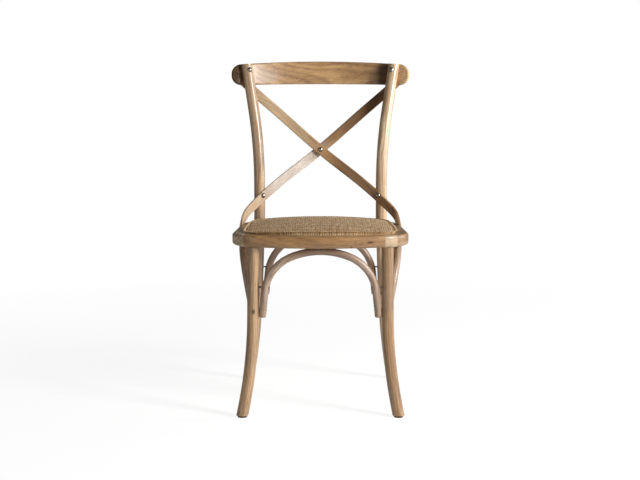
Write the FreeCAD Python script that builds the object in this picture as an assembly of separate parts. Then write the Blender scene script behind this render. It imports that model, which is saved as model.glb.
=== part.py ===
import FreeCAD, Part
import math
import os

V = FreeCAD.Vector

# Cross back chair, in millimetres. It faces -Y, +X is to the right of someone looking at its front,
# and +Z is up. While it is drawn, Y is 0 at the front edge of the seat; the last step moves the
# finished chair so that its origin is on the floor, at the middle of its outer box.

# Seat ring, seen from above
seat_height = 458.5
seat_width = 450.0
seat_depth = 420.0
ring_thickness = 30.5
ring_width = 50.0
ring_edge_radius = 8.0
front_edge_radius = 548.0
front_corner_radius = 85.0
side_taper = 3.0
rear_corner_radius = 120.0
rear_edge_radius = 600.0
corner_block_sweep = 23.5
corner_joint_turn = 2.4

# Seat board, padding and woven mat, dropped into a rebate of the ring
ledge_width = 16.0
rebate_depth = 12.0
board_thickness = 9.0
mat_thickness = 3.0
mat_edge_rise = 10.0
mat_crown = 19.5
mat_edge_radius = 5.0
mat_fit = 0.4
soft_gap = 0.3

# Front legs: round bars with a tenon at the top and one bend near the foot
leg_diameter = 30.0
front_leg_inset = 18.0
front_leg_turn = 4.0
front_leg_bend_x = 171.0
front_leg_bend_height = 135.0
front_leg_forward_lean = 9.0
front_foot_x = 198.0
front_foot_y = 8.0
front_leg_bend_radius = 900.0
tenon_diameter = 22.0
tenon_length = 22.0
tenon_end_gap = 1.0

# Rear legs: round bars from foot to back top, bent near the foot, at the seat and above it
rear_foot_x = 204.0
rear_foot_y = 443.0
rear_leg_bend_x = 180.5
rear_leg_bend_y = 400.0
rear_leg_bend_height = 135.0
rear_leg_lower_radius = 800.0
rear_post_x = 168.0
rear_leg_stand_off = 2.0
seat_bend_radius = 1600.0
back_bend_height = 665.0
back_bend_radius = 900.0
post_outward_slope = 0.158
post_rake = 9.5

# Crest rail: a curved plank across the backs of the post tops
chair_height = 895.0
crest_height = 63.0
crest_width = 489.0
crest_thickness = 20.0
crest_inner_radius = 450.0
crest_end_radius = 26.0
crest_top_sag = 10.0
crest_bottom_sag = 3.0
crest_edge_radius = 4.0
crest_post_housing = 4.0

# Crossed straps: flat strips, each from behind one post top to the seat ring beside the other post
strap_width = 25.5
strap_thickness = 8.0
strap_edge_radius = 2.5
strap_crossing_height = 652.0
strap_crossing_set_back = 36.0
strap_crossing_gap = 0.5
strap_top_drop = 68.0
strap_top_offset = 6.0
strap_tip_reach = 15.0
strap_upper_slope = 0.88
strap_lower_slope = 0.80
strap_post_height = 524.5
strap_post_yaw = 31.0
strap_post_housing = 1.5
strap_housing_drop = 36.0
strap_bolt_rise = 4.0
strap_crossing_flat = 20.0
strap_foot_inset = 7.0
strap_foot_y = 268.0
strap_foot_pitch = 37.0
strap_tenon_length = 22.0
strap_stations = 27
strap_rest_shares = (0.35, 0.7)
strap_foot_shares = (0.33, 0.67)
strap_foot_splay = 0.06

# Arches: round rods under the seat, each between two legs
arch_diameter = 19.0
arch_foot_height = 250.0
arch_contact_rise = 20.0
arch_lean = 6.0
arch_crown_radius = 190.0
arch_shoulder_radius = 110.0
arch_cope_depth = 1.5
arch_crown_flat = 1.0
side_arch_crown_inset = 15.0
arch_end_radius = 3.0
arch_screw_sink = 0.4

# Bolts with a domed head, and what they screw into
dome_diameter = 14.0
dome_height = 4.5
bolt_diameter = 6.0
cap_nut_width = 10.0
cap_nut_height = 5.0
cap_nut_dome = 3.5
cap_nut_cap = 9.5
spot_face_depth = 1.0
bolt_pocket = 13.0
crest_bolt_drop = 25.0
leg_bolt_diameter = 8.0
leg_bolt_dome = 18.0
leg_bolt_end = 2.0
washer_diameter = 16.0
washer_thickness = 1.6
hex_nut_width = 13.0
hex_nut_height = 6.5

# Wood screws, pins and dowels
screw_diameter = 4.0
screw_head_diameter = 8.0
screw_head_height = 2.6
screw_point = 4.0
screw_tip_radius = 0.4
arch_screw_rises = (20.0, 78.0)
arch_screw_bite = 12.0
crown_screw_bite = 14.0
strap_screw_bite = 13.0
strap_screw_drop = 13.0
strap_foot_screw_length = 24.0
strap_foot_screw_back = 8.0
board_screw_bite = 6.0
board_screw_x = 75.0
board_screw_share = 0.6
dowel_diameter = 8.0
dowel_length = 40.0
corner_dowel_length = 60.0
dowel_end_gap = 0.5
corner_dowel_rise = 12.6
rear_dowel_insets = (14.0, 34.0)
pin_diameter = 5.0
pin_rise = 5.0
pin_past_tenon = 4.4
hole_clearance = 0.15
head_clearance = 0.2
cut_overshoot = 1.0

# How finely places on a curve are found
path_samples = 400
halvings = 60

# Feet
glide_diameter = 24.0
glide_height = 5.0
glide_edge_radius = 1.5
nail_diameter = 2.5
nail_length = 18.0
nail_head_diameter = 7.0
nail_head_height = 1.0
nail_head_recess = 1.0

# Values that follow from the ones above
seat_underside = seat_height - ring_thickness
ledge_height = seat_height - rebate_depth
rebate_inset = ring_width - ledge_width
leg_radius = leg_diameter / 2
arch_radius = arch_diameter / 2
taper = math.radians(side_taper)
rake = math.radians(post_rake)
UP = V(0, 0, 1)
FAR = 1000.0

nodes = {}


# Vectors, arcs and prisms

def polar(centre, radius, angle):
    return V(centre.x + radius * math.cos(angle), centre.y + radius * math.sin(angle), centre.z)


def unit(vector):
    return vector * (1.0 / vector.Length)


def other_side(point):
    return V(-point.x, point.y, point.z)


def mirrored(shape):
    return shape.mirror(V(0, 0, 0), V(1, 0, 0))


def line_edge(start, end):
    return Part.LineSegment(start, end).toShape()


def arc_edge(centre, radius, start, end):
    middle = (start + end) / 2
    return Part.Arc(polar(centre, radius, start), polar(centre, radius, middle),
                    polar(centre, radius, end)).toShape()


def prism(wire, low, high):
    face = Part.Face(wire)
    face.translate(V(0, 0, low))
    return face.extrude(V(0, 0, high - low))


def polygon_prism(points, low, high):
    return prism(Part.makePolygon(points + [points[0]]), low, high)


def slab(low, high):
    return Part.makeBox(FAR * 2, FAR * 2, high - low, V(-FAR, -FAR, low))


def rod(start, direction, length, diameter):
    return Part.makeCylinder(diameter / 2, length, start, direction)


def main_solid(shape):
    return max(shape.Solids, key=lambda solid: solid.Volume)


def inner_tangent_centre(start, along, centre, distance):
    """The point on a line that lies a given distance from a centre, on the far side of the start."""
    offset = start - centre
    half_b = offset.dot(along)
    c = offset.dot(offset) - distance ** 2
    return start + along * (math.sqrt(half_b ** 2 - c) - half_b)


def cut_from(names, tool):
    for name in names:
        nodes[name] = [main_solid(solid.cut(tool)) for solid in nodes[name]]


# Bent bars

def bent_path(points, radii):
    """A wire of straight runs through the points, joined by tangent arcs of the given radii."""
    edges = []
    start = points[0]
    for i, radius in enumerate(radii):
        corner = points[i + 1]
        inward = unit(corner - points[i])
        outward = unit(points[i + 2] - corner)
        half_turn = inward.getAngle(outward) / 2
        reach = radius * math.tan(half_turn)
        arc_start = corner - inward * reach
        arc_end = corner + outward * reach
        arc_middle = corner + unit(outward - inward) * (radius / math.cos(half_turn) - radius)
        edges.append(line_edge(start, arc_start))
        edges.append(Part.Arc(arc_start, arc_middle, arc_end).toShape())
        start = arc_end
    edges.append(line_edge(start, points[-1]))
    return Part.Wire(edges)


def bent_bar(path, diameter):
    first = path.Edges[0]
    start = first.valueAt(first.FirstParameter)
    section = Part.makeCircle(diameter / 2, start, first.tangentAt(first.FirstParameter))
    return path.makePipeShell([Part.Wire(section)], True, False)


def place_at_height(path, height):
    """Where a leg's path passes a height, and its upward direction there."""
    samples = path.discretize(Number=path_samples)
    for below, above in zip(samples, samples[1:]):
        if (below.z - height) * (above.z - height) <= 0 and below.z != above.z:
            share = (height - below.z) / (above.z - below.z)
            direction = unit(above - below)
            return below + (above - below) * share, direction * math.copysign(1, direction.z)
    raise ValueError("the path does not pass this height")


# Seat outline: a bowed front edge, two front corners, two tapering sides, two rear corners and a
# bowed rear edge, all tangent to each other

front_centre = V(0, front_edge_radius, 0)
rear_centre = V(0, seat_depth - rear_edge_radius, 0)
side_out = V(math.cos(taper), math.sin(taper), 0)
side_back = V(-math.sin(taper), math.cos(taper), 0)
corner_x = seat_width / 2 - front_corner_radius
corner_y = front_edge_radius - math.sqrt((front_edge_radius - front_corner_radius) ** 2 - corner_x ** 2)
corner_centre = V(corner_x, corner_y, 0)
rear_corner_centre = inner_tangent_centre(
    corner_centre + side_out * (front_corner_radius - rear_corner_radius), side_back,
    rear_centre, rear_edge_radius - rear_corner_radius)
front_tangent_angle = math.atan2(corner_y - front_edge_radius, corner_x)
front_joint_angle = front_tangent_angle - math.radians(corner_joint_turn)
block_joint_angle = front_joint_angle + math.radians(corner_block_sweep)
rear_joint_angle = math.atan2(rear_corner_centre.y - rear_centre.y, rear_corner_centre.x)


def side_point(y, inset):
    """The point of the seat's right side at a given depth, some way in from its edge."""
    edge = corner_centre + side_out * front_corner_radius
    return edge + side_back * ((y - edge.y) / side_back.y) - side_out * inset


def seat_outline(inset):
    corner = front_corner_radius - inset
    rear_corner = rear_corner_radius - inset
    side_start = polar(corner_centre, corner, taper)
    side_end = polar(rear_corner_centre, rear_corner, taper)
    return Part.Wire([
        arc_edge(front_centre, front_edge_radius - inset, -math.pi - front_tangent_angle,
                 front_tangent_angle),
        arc_edge(corner_centre, corner, front_tangent_angle, taper),
        line_edge(side_start, side_end),
        arc_edge(rear_corner_centre, rear_corner, taper, rear_joint_angle),
        arc_edge(rear_centre, rear_edge_radius - inset, rear_joint_angle, math.pi - rear_joint_angle),
        arc_edge(other_side(rear_corner_centre), rear_corner, math.pi - rear_joint_angle, math.pi - taper),
        line_edge(other_side(side_end), other_side(side_start)),
        arc_edge(other_side(corner_centre), corner, math.pi - taper, math.pi - front_tangent_angle),
    ])


def level_edges(solid, height):
    return [edge for edge in solid.Edges
            if abs(edge.BoundBox.ZMin - height) < 0.01 and abs(edge.BoundBox.ZMax - height) < 0.01]


def seat_ring():
    ring = prism(seat_outline(0), seat_underside, seat_height)
    rims = level_edges(ring, seat_height) + level_edges(ring, seat_underside)
    ring = ring.makeFillet(ring_edge_radius, rims)
    low = seat_underside - cut_overshoot
    high = seat_height + cut_overshoot
    ring = ring.cut(prism(seat_outline(ring_width), low, high))
    return ring.cut(prism(seat_outline(rebate_inset), ledge_height, high))


def make_seat_ring(ring):
    """Cuts the ring into rails and blocks along planes square to its edge."""
    def ring_part(points):
        return main_solid(ring.common(polygon_prism(points, seat_underside, seat_height)))

    front_far = polar(corner_centre, FAR, front_joint_angle)
    block_far = polar(corner_centre, FAR, block_joint_angle)
    rear_far = polar(rear_corner_centre, FAR, rear_joint_angle)
    block = ring_part([corner_centre, front_far, block_far])
    side = ring_part([corner_centre, block_far, V(FAR * 2, 0, 0), V(FAR * 2, FAR * 2, 0),
                      rear_far, rear_corner_centre])
    nodes["seat_front_rail"] = [ring_part([corner_centre, front_far, other_side(front_far),
                                           other_side(corner_centre)])]
    nodes["seat_rear_rail"] = [ring_part([rear_corner_centre, rear_far, other_side(rear_far),
                                          other_side(rear_corner_centre)])]
    nodes["right_corner_block"] = [block]
    nodes["left_corner_block"] = [mirrored(block)]
    nodes["right_side_rail"] = [side]
    nodes["left_side_rail"] = [mirrored(side)]


# Legs

leg_angle = front_tangent_angle + math.radians(corner_block_sweep / 2 - front_leg_turn)
front_leg_place = polar(corner_centre, front_corner_radius - front_leg_inset, leg_angle)
rear_post_y = rear_leg_stand_off + rear_corner_centre.y + math.sqrt(
    rear_corner_radius ** 2 - (rear_post_x - rear_corner_centre.x) ** 2)


def front_leg_line():
    top = V(front_leg_place.x, front_leg_place.y, seat_underside)
    bend = V(front_leg_bend_x, top.y - front_leg_forward_lean, front_leg_bend_height)
    foot = V(front_foot_x, front_foot_y, 0)
    above = top + unit(top - bend) * leg_diameter
    below = foot + unit(foot - bend) * leg_diameter
    return bent_path([above, bend, below], [front_leg_bend_radius])


def rear_leg_line():
    foot = V(rear_foot_x, rear_foot_y, 0)
    bend = V(rear_leg_bend_x, rear_leg_bend_y, rear_leg_bend_height)
    seat = V(rear_post_x, rear_post_y, seat_height)
    back_bend = V(rear_post_x, rear_post_y, back_bend_height)
    rise = chair_height + crest_height - back_bend_height
    top = back_bend + V(rise * post_outward_slope, rise * math.tan(rake), rise)
    below = foot + unit(foot - bend) * leg_diameter
    return bent_path([below, bend, seat, back_bend, top],
                     [rear_leg_lower_radius, seat_bend_radius, back_bend_radius])


front_leg_path = front_leg_line()
rear_leg_path = rear_leg_line()


def front_leg():
    body = bent_bar(front_leg_path, leg_diameter).common(slab(glide_height, seat_underside))
    top, upward = place_at_height(front_leg_path, seat_underside)
    tenon = rod(top - upward * leg_radius, upward, leg_radius + tenon_length, tenon_diameter)
    return main_solid(body.fuse(tenon).removeSplitter())


def front_leg_socket():
    top, upward = place_at_height(front_leg_path, seat_underside)
    return rod(top - upward * leg_radius, upward, leg_radius + tenon_length + tenon_end_gap,
               tenon_diameter + 2 * hole_clearance)


def rear_leg():
    body = bent_bar(rear_leg_path, leg_diameter).common(slab(glide_height, FAR))
    return main_solid(body.cut(post_housing()).cut(above_crest()))


# Crest rail, and the leaning plane of the two posts that carries it

post_crest_x = rear_post_x + post_outward_slope * (chair_height - crest_height / 2 - back_bend_height)
crest_axis_behind = -math.sqrt((crest_inner_radius - leg_radius + crest_post_housing) ** 2
                               - post_crest_x ** 2)
crest_low_along = (chair_height - crest_height - back_bend_height) / math.cos(rake)


def crest_face_behind(x):
    """How far behind the posts' plane the front face of the crest rail lies."""
    return crest_axis_behind + math.sqrt(crest_inner_radius ** 2 - x ** 2)


def back_wall(inner, outer, low):
    """A curved wall that leans back with the posts, from a distance along them to past their tops."""
    height = crest_low_along - low + 2 * crest_height
    axis = V(0, crest_axis_behind, low)
    wall = Part.makeCylinder(outer, height, axis, UP).cut(Part.makeCylinder(inner, height, axis, UP))
    wall = wall.common(Part.makeBox(FAR * 2, FAR, height, axis - V(FAR, 0, 0)))
    wall.rotate(V(0, 0, 0), V(1, 0, 0), -post_rake)
    wall.translate(V(0, rear_post_y, back_bend_height))
    return wall


def sagging_edge(height, sag, reach):
    """A long arc across the chair that sags by the given amount at the rail's ends."""
    half = crest_width / 2
    radius = (half ** 2 + sag ** 2) / (2 * sag)
    drop = radius - math.sqrt(radius ** 2 - reach ** 2)
    return Part.Arc(V(-reach, 0, height - drop), V(0, 0, height), V(reach, 0, height - drop)).toShape()


def crest_blank():
    """The rail's front view as a deep block: sagging long edges and rounded ends."""
    half = crest_width / 2
    low = chair_height - crest_height
    top = sagging_edge(chair_height, crest_top_sag, half)
    bottom = sagging_edge(low, crest_bottom_sag, half)
    ends = [line_edge(V(x, 0, chair_height - crest_top_sag), V(x, 0, low - crest_bottom_sag))
            for x in (-half, half)]
    face = Part.Face(Part.Wire(Part.__sortEdges__([top, bottom] + ends)))
    block = face.extrude(V(0, FAR, 0))
    corners = [edge for edge in block.Edges
               if edge.BoundBox.YLength > FAR / 2 and edge.BoundBox.XLength < 1]
    return block.makeFillet(crest_end_radius, corners)


def crest_rail():
    wall = back_wall(crest_inner_radius, crest_inner_radius + crest_thickness,
                     crest_low_along - crest_height)
    rail = main_solid(wall.common(crest_blank()))
    return main_solid(rail.makeFillet(crest_edge_radius, rail.Edges))


def above_crest():
    """The space over the rail's top edge, which trims the posts flush with it."""
    top = sagging_edge(chair_height, crest_top_sag, crest_width)
    first = top.Vertexes[0].Point
    last = top.Vertexes[-1].Point
    lift = UP * FAR
    face = Part.Face(Part.Wire([top, line_edge(last, last + lift), line_edge(last + lift, first + lift),
                                line_edge(first + lift, first)]))
    return face.extrude(V(0, FAR, 0))


def post_housing():
    """What a post loses behind: the seat for the crest rail and for the strap's upper end."""
    return back_wall(crest_inner_radius, crest_inner_radius + leg_diameter,
                     crest_low_along - strap_housing_drop)


def crest_normal(x):
    """The direction straight through the crest rail from front to back."""
    across = x / crest_inner_radius
    behind = math.sqrt(1 - across ** 2)
    return V(across, behind * math.cos(rake), -behind * math.sin(rake))


# Crossed straps

def blend(start, start_pull, end, end_pull, t):
    """A point of the cubic that leaves one point with a pull and arrives at another with a pull."""
    return (start * (2 * t ** 3 - 3 * t ** 2 + 1) + start_pull * (t ** 3 - 2 * t ** 2 + t)
            + end * (3 * t ** 2 - 2 * t ** 3) + end_pull * (t ** 3 - t ** 2))


def strap_on_post():
    """Where the middle of a strap passes in front of the right post, and the way through both."""
    post, upward = place_at_height(rear_leg_path, strap_post_height)
    yaw = math.radians(strap_post_yaw)
    through = V(math.sin(yaw), math.cos(yaw), 0)
    return post - through * (leg_radius - strap_post_housing + strap_thickness / 2), through


def strap_behind_post(x, height):
    """A point of a strap let in flush with the front face of the crest rail, on the left."""
    post, upward = place_at_height(rear_leg_path, height)
    yaw = math.asin(x / crest_inner_radius)
    return V(-x, post.y + crest_face_behind(x) + strap_thickness / 2 / math.cos(yaw), height)


def strap_line(shift):
    """The middle line of a strap from behind the left post top to the seat on the right."""
    top_height = chair_height - strap_top_drop
    top_post, top_up = place_at_height(rear_leg_path, top_height)
    cross_post, cross_up = place_at_height(rear_leg_path, strap_crossing_height)
    top_x = top_post.x + strap_top_offset
    top = strap_behind_post(top_x, top_height)
    tip = strap_behind_post(top_x + strap_tip_reach, top_height + strap_tip_reach)
    crossing = V(0, cross_post.y + strap_crossing_set_back + shift, strap_crossing_height)
    low, through = strap_on_post()
    foot = side_point(strap_foot_y, strap_foot_inset)
    foot.z = seat_height
    pitch = math.radians(strap_foot_pitch)
    landing = V(strap_foot_splay, -math.cos(pitch), -math.sin(pitch))
    top_lean = top_up.y / top_up.z
    cross_lean = cross_up.y / cross_up.z
    top_yaw = top_x / math.sqrt(crest_inner_radius ** 2 - top_x ** 2)
    top_pull = V(1, top_yaw - strap_upper_slope * top_lean, -strap_upper_slope) * top_x
    cross_pull = V(1, -strap_lower_slope * cross_lean, -(strap_upper_slope + strap_lower_slope) / 2)
    low_pull = V(through.y, -through.x, -strap_lower_slope)
    foot_pull = (foot - low).Length
    points = [tip, top]
    points += [blend(top, top_pull, crossing, cross_pull * top_x, t) for t in strap_rest_shares]
    flat = unit(cross_pull) * strap_crossing_flat
    points += [crossing - flat, crossing, crossing + flat]
    points += [blend(crossing, cross_pull * low.x, low, low_pull * low.x, t) for t in strap_rest_shares]
    points.append(low)
    points += [blend(low, low_pull * foot_pull, foot, landing * foot_pull, t) for t in strap_foot_shares]
    points += [foot, foot + landing * strap_tenon_length]
    curve = Part.BSplineCurve()
    curve.interpolate(points)
    return curve


def strap_frame(curve, parameter):
    """A point of the strap's middle line, its run, the way out of its front face, and its width."""
    point = curve.value(parameter)
    along = curve.tangent(parameter)[0]
    height = min(max(point.z, seat_height), chair_height - crest_height)
    post, upward = place_at_height(rear_leg_path, height)
    out = unit(along.cross(V(0, upward.y, upward.z)))
    out = out * math.copysign(1, -out.y)
    return point, along, out, unit(along.cross(out))


def strap_section(point, out, across, extra):
    """A rounded rectangle square to the strap's line."""
    radius = strap_edge_radius + extra
    half_width = strap_width / 2 + extra - radius
    half_thickness = strap_thickness / 2 + extra - radius
    turns = [(across, out), (out, across * -1), (across * -1, out * -1), (out * -1, across)]
    arcs = []
    for first, second in turns:
        corner = V(0, 0, 0)
        for way in (first, second):
            corner = corner + way * (half_width if abs(way.dot(across)) > 0.5 else half_thickness)
        centre = point + corner
        middle = centre + unit(first + second) * radius
        arcs.append((centre + first * radius, middle, centre + second * radius))
    edges = []
    for i, (start, middle, end) in enumerate(arcs):
        edges.append(Part.Arc(start, middle, end).toShape())
        edges.append(line_edge(end, arcs[(i + 1) % 4][0]))
    return Part.Wire(edges)


def cross_strap(curve, extra=0.0):
    span = curve.LastParameter - curve.FirstParameter
    last = strap_stations - 1
    sections = []
    for i in range(strap_stations):
        point, along, out, across = strap_frame(curve, curve.FirstParameter + span * i / last)
        if i == 0:
            point = point - along * extra
        if i == last:
            point = point + along * extra
        sections.append(strap_section(point, out, across, extra))
    return Part.makeLoft(sections, True, False)


def strap_at(curve, x):
    """The strap's frame where its middle line passes a distance across the chair."""
    low = curve.FirstParameter
    high = curve.LastParameter
    for i in range(halvings):
        middle = (low + high) / 2
        if curve.value(middle).x < x:
            low = middle
        else:
            high = middle
    return strap_frame(curve, low)


# Arches

class Arch:
    """A rod from one leg up under the seat ring and down to another leg, in one plane: two straight
    ends that lean together, two shoulders and a flatter crown, all tangent."""

    def __init__(self, first_foot, second_foot, crown):
        self.middle = (first_foot + second_foot) / 2
        self.across = unit(second_foot - first_foot)
        self.upward = unit(crown - self.middle)
        self.half = (second_foot - first_foot).Length / 2
        lean = math.radians(arch_lean)
        height = (crown - self.middle).Length
        outward = V(math.cos(lean), math.sin(lean), 0)
        self.run = V(-math.sin(lean), math.cos(lean), 0)
        self.crown_centre = V(0, height - arch_crown_radius, 0)
        self.foot = V(self.half, 0, 0)
        start = self.foot - outward * arch_shoulder_radius
        self.shoulder_centre = inner_tangent_centre(start, self.run, self.crown_centre,
                                                    arch_crown_radius - arch_shoulder_radius)
        self.lean = lean
        self.straight = (self.shoulder_centre - start).Length
        rise = self.shoulder_centre - self.crown_centre
        self.crown_angle = math.atan2(rise.y, rise.x)

    def place(self, flat):
        return self.middle + self.across * flat.x + self.upward * flat.y

    def rod_point(self, rise, side=1):
        """The middle of the rod some way up from a foot."""
        if rise <= self.straight:
            flat = self.foot + self.run * rise
        else:
            turn = self.lean + (rise - self.straight) / arch_shoulder_radius
            flat = polar(self.shoulder_centre, arch_shoulder_radius, turn)
        return self.place(V(flat.x * side, flat.y, 0))

    def arc(self, centre, radius, start, end):
        points = [self.place(polar(centre, radius, angle)) for angle in (start, (start + end) / 2, end)]
        return Part.Arc(*points).toShape()

    def path(self):
        left_centre = other_side(self.shoulder_centre)
        lean = self.lean
        angle = self.crown_angle
        return Part.Wire([
            line_edge(self.rod_point(0, -1), self.rod_point(self.straight, -1)),
            self.arc(left_centre, arch_shoulder_radius, math.pi - lean, math.pi - angle),
            self.arc(self.crown_centre, arch_crown_radius, math.pi - angle, angle),
            self.arc(self.shoulder_centre, arch_shoulder_radius, angle, lean),
            line_edge(self.rod_point(self.straight), self.rod_point(0)),
        ])

    def solid(self):
        bar = bent_bar(self.path(), arch_diameter)
        rims = [edge for edge in bar.Edges if edge.Closed and min(
            (edge.CenterOfMass - self.rod_point(0, side)).Length for side in (-1, 1)) < 0.1]
        return bar.makeFillet(arch_end_radius, rims)


def leg_side(path, way):
    """Where a rod's middle stands beside a leg, on the given side of it."""
    leg, upward = place_at_height(path, arch_foot_height + arch_contact_rise)
    beside = leg + way * (leg_radius + arch_radius - arch_cope_depth)
    return V(beside.x, beside.y, arch_foot_height)


def cross_arch(path, crown_y):
    foot = leg_side(path, V(-1, 0, 0))
    crown = V(0, crown_y, seat_underside - arch_radius + arch_crown_flat)
    return Arch(other_side(foot), foot, crown)


def side_arch():
    first = leg_side(front_leg_path, V(0, 1, 0))
    second = leg_side(rear_leg_path, V(0, -1, 0))
    crown = side_point((first.y + second.y) / 2, side_arch_crown_inset)
    crown.z = seat_underside - arch_radius + arch_crown_flat
    return Arch(first, second, crown)


def make_arches(arches):
    front, rear, side = arches
    under_seat = slab(-FAR, seat_underside)
    nodes["front_arch"] = [main_solid(front.solid().common(under_seat))]
    nodes["rear_arch"] = [main_solid(rear.solid().common(under_seat))]
    right = main_solid(side.solid().common(under_seat))
    right = main_solid(right.cut(nodes["right_front_leg"][0]).cut(nodes["right_rear_leg"][0]))
    nodes["right_arch"] = [right]
    nodes["left_arch"] = [mirrored(right)]
    for side_name in ("left", "right"):
        cut_from(["front_arch"], nodes[side_name + "_front_leg"][0])
        cut_from(["rear_arch"], nodes[side_name + "_rear_leg"][0])


# Seat board, padding and woven mat

def crown_ball(drop):
    """A ball whose top gives the crowned surface of the seat, lowered by the given amount."""
    half = seat_width / 2 - rebate_inset
    rise = mat_crown - mat_edge_rise
    radius = (half ** 2 + rise ** 2) / (2 * rise)
    return Part.makeSphere(radius - drop, V(0, seat_depth / 2, seat_height + mat_crown - radius))


def make_seat_pad():
    mat_inset = rebate_inset + mat_fit
    board_inset = mat_inset + mat_thickness + soft_gap
    top = seat_height + mat_crown + cut_overshoot
    mat = main_solid(prism(seat_outline(mat_inset), ledge_height, top).common(crown_ball(0)))
    upper = [edge for edge in mat.Edges if edge.BoundBox.ZMin > seat_height]
    mat = mat.makeFillet(mat_edge_radius, upper)
    inside = prism(seat_outline(mat_inset + mat_thickness), ledge_height - cut_overshoot, top)
    nodes["rattan_mat"] = [main_solid(mat.cut(inside.common(crown_ball(mat_thickness))))]
    board_top = ledge_height + board_thickness
    nodes["seat_board"] = [prism(seat_outline(board_inset), ledge_height, board_top)]
    padding = prism(seat_outline(board_inset), board_top, top)
    nodes["seat_padding"] = [main_solid(padding.common(crown_ball(mat_thickness + soft_gap)))]


# Fasteners

def dome_bolt(place, direction, length, diameter=bolt_diameter, head=dome_diameter, height=dome_height):
    """A turned bolt: a low domed head on a surface, and a plain shank into it along the direction."""
    radius = (head ** 2 / 4 + height ** 2) / (2 * height)
    half_turn = math.asin(head / 2 / radius) / 2
    rim = V(head / 2, 0, 0)
    middle = V(radius * math.sin(half_turn), 0, radius - height - radius * math.cos(half_turn))
    top = V(0, 0, -height)
    end = V(0, 0, length)
    shank_end = V(diameter / 2, 0, length)
    shank_start = V(diameter / 2, 0, 0)
    profile = Part.Wire([Part.Arc(top, middle, rim).toShape(), line_edge(rim, shank_start),
                         line_edge(shank_start, shank_end), line_edge(shank_end, end), line_edge(end, top)])
    bolt = Part.Face(profile).revolve(V(0, 0, 0), UP, 360)
    bolt.Placement = FreeCAD.Placement(place, FreeCAD.Rotation(UP, direction))
    return main_solid(bolt)


def hexagon(place, direction, width, height):
    side = unit(direction.cross(UP if abs(direction.z) < 0.9 else V(1, 0, 0)))
    other = direction.cross(side)
    radius = width / math.sqrt(3)
    corners = [place + side * (radius * math.cos(math.radians(60 * i)))
               + other * (radius * math.sin(math.radians(60 * i))) for i in range(7)]
    return Part.Face(Part.makePolygon(corners)).extrude(direction * height)


def cap_nut(place, direction, bolt_reach):
    """A hexagon nut with a closed domed cap, on a surface that faces along the direction."""
    nut = hexagon(place, direction, cap_nut_width, cap_nut_height)
    cap_place = place + direction * cap_nut_height
    cap = dome_bolt(cap_place, direction * -1, cap_nut_height / 2, bolt_diameter, cap_nut_cap, cap_nut_dome)
    bore = rod(place - direction * cut_overshoot, direction, bolt_reach + cut_overshoot + hole_clearance,
               bolt_diameter + 2 * hole_clearance)
    return main_solid(nut.fuse(cap).cut(bore))


def wood_screw(head, direction, length, extra=0.0):
    """A countersunk screw from its head's face to its point; extra widens it into its hole."""
    shank = screw_diameter / 2 + extra
    cone = Part.makeCone(screw_head_diameter / 2 + extra, shank, screw_head_height, head, direction)
    body = rod(head, direction, length - screw_point, shank * 2)
    tip = Part.makeCone(shank, screw_tip_radius + extra, screw_point + extra,
                        head + direction * (length - screw_point), direction)
    screw = main_solid(cone.fuse([body, tip]).removeSplitter())
    if extra:
        screw = screw.fuse(rod(head - direction * screw_head_diameter, direction, screw_head_diameter,
                               screw_head_diameter + 2 * extra))
    return screw


def add(name, solid):
    nodes.setdefault(name, []).append(solid)


def add_pair(name, solid):
    add(name, solid)
    add(name, mirrored(solid))


def drive_screw(name, head, direction, length, into):
    """Adds a screw and cuts its hole."""
    add(name, wood_screw(head, direction, length))
    cut_from(into, wood_screw(head, direction, length, hole_clearance))


def drive_screw_pair(name, head, direction, length, into):
    drive_screw(name, head, direction, length, into)
    drive_screw(name, other_side(head), other_side(direction), length,
                [swap_side(node) for node in into])


def swap_side(name):
    if name.startswith("right"):
        return "left" + name[5:]
    if name.startswith("left"):
        return "right" + name[4:]
    return {"front_cross_strap": "rear_cross_strap", "rear_cross_strap": "front_cross_strap"}.get(name, name)


def through_bolt(start, direction, grip, into):
    """A domed bolt through a stack of wood, its head let in a little, and its cap nut."""
    head = start + direction * spot_face_depth
    length = grip - 2 * spot_face_depth
    end = head + direction * length
    bolt = dome_bolt(head, direction, length + cap_nut_height)
    hole = rod(head - direction * cut_overshoot, direction, length + 2 * cut_overshoot,
               bolt_diameter + 2 * hole_clearance)
    pocket = rod(start - direction * bolt_pocket, direction, bolt_pocket + spot_face_depth,
                 dome_diameter + 2 * head_clearance)
    nut_pocket = rod(end, direction, bolt_pocket, cap_nut_width * 2 / math.sqrt(3) + 2 * head_clearance)
    cut_from(into, hole.fuse([pocket, nut_pocket]))
    return bolt, cap_nut(end, direction, cap_nut_height)


def make_crest_bolts():
    height = chair_height - crest_bolt_drop
    post, upward = place_at_height(rear_leg_path, height)
    through = crest_normal(post.x)
    start = post - through * leg_radius
    grip = leg_diameter - crest_post_housing + crest_thickness
    for side in (1, -1):
        place = V(start.x * side, start.y, start.z)
        way = V(through.x * side, through.y, through.z)
        leg = "right_rear_leg" if side > 0 else "left_rear_leg"
        bolt, nut = through_bolt(place, way, grip, [leg, "crest_rail"])
        add("crest_bolts", bolt)
        add("crest_nuts", nut)


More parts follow.
